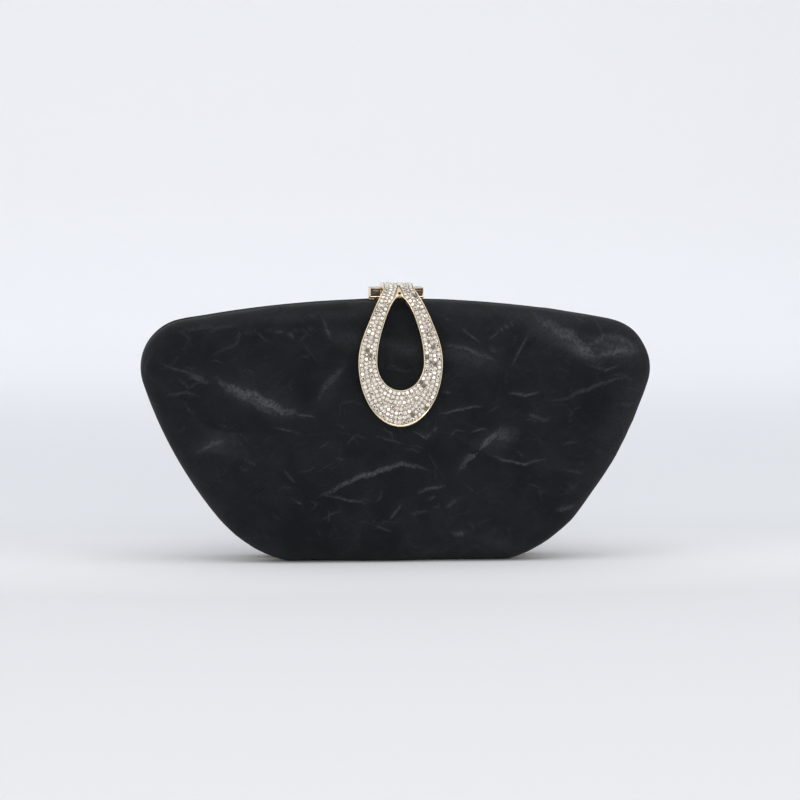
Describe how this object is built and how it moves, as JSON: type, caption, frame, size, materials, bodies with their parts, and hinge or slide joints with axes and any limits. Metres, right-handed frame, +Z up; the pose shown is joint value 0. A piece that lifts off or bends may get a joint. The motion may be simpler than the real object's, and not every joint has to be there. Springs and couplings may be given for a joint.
{
  "type": "clutch purse",
  "caption": "Hard-shell evening clutch in black crinkled cloth, with a gem-set teardrop lever clasp over its top edge and two halves hinged at the bottom.",
  "frame": {"origin": "on the surface that the purse stands on, under the middle of its whole box", "axes": "+Z up, +X along the purse to the right of someone looking at the teardrop, -Y towards that person"},
  "size_m": [0.2182, 0.05, 0.119],
  "materials": {
    "cloth": "matt, crinkled, suede-like black cloth",
    "foam": "thin foam",
    "tray": "moulded, matt",
    "satin": "black satin",
    "rim": "plated pale gold, satin",
    "gold": "polished pale gold plating",
    "steel": "satin",
    "inlay": "dark bronze enamel, glossy",
    "stone": "foil-backed cut crystal"
  },
  "bodies": {
    "back_half": {"back_cover": "cloth", "back_padding": "foam", "back_tray": "tray", "back_lining": "satin", "back_rim": "rim", "left_gusset": "satin", "right_gusset": "satin", "left_hinge_back_leaf": "gold", "left_hinge_pin": "steel", "left_hinge_back_rivet_1": "gold", "left_hinge_back_rivet_2": "gold", "right_hinge_back_leaf": "gold", "right_hinge_pin": "steel", "right_hinge_back_rivet_1": "gold", "right_hinge_back_rivet_2": "gold", "keeper_leaf": "steel", "keeper_rivet_left": "gold", "keeper_rivet_right": "gold"},
    "front_half": {"front_cover": "cloth", "front_padding": "foam", "front_tray": "tray", "front_lining": "satin", "front_rim": "rim", "left_hinge_front_leaf": "gold", "left_hinge_front_rivet_1": "gold", "left_hinge_front_rivet_2": "gold", "right_hinge_front_leaf": "gold", "right_hinge_front_rivet_1": "gold", "right_hinge_front_rivet_2": "gold", "clasp_base": "gold", "clasp_inlay_left": "inlay", "clasp_inlay_right": "inlay", "clasp_screw_left": "steel", "clasp_screw_right": "steel", "clasp_pin": "gold", "clasp_spring": "steel"},
    "clasp_lever": {"clasp_lever": "gold", "pave_stone_bed": "stone", "apex_bead": "gold"}
  },
  "joints": [
    {"name": "shell_open", "type": "hinge", "parent": "back_half", "child": "front_half", "pos_m": [0, 0.002, 0.0015], "axis": [1, 0, 0], "range_deg": [0, 45], "deforming": ["left_gusset", "right_gusset", "keeper_leaf"]},
    {"name": "clasp_lift", "type": "hinge", "parent": "front_half", "child": "clasp_lever", "pos_m": [0, 0.005, 0.1145], "axis": [-1, 0, 0], "range_deg": [0, 70], "stiffness_Nm_per_rad": 0.01, "springref_deg": -17.19}
  ]
}
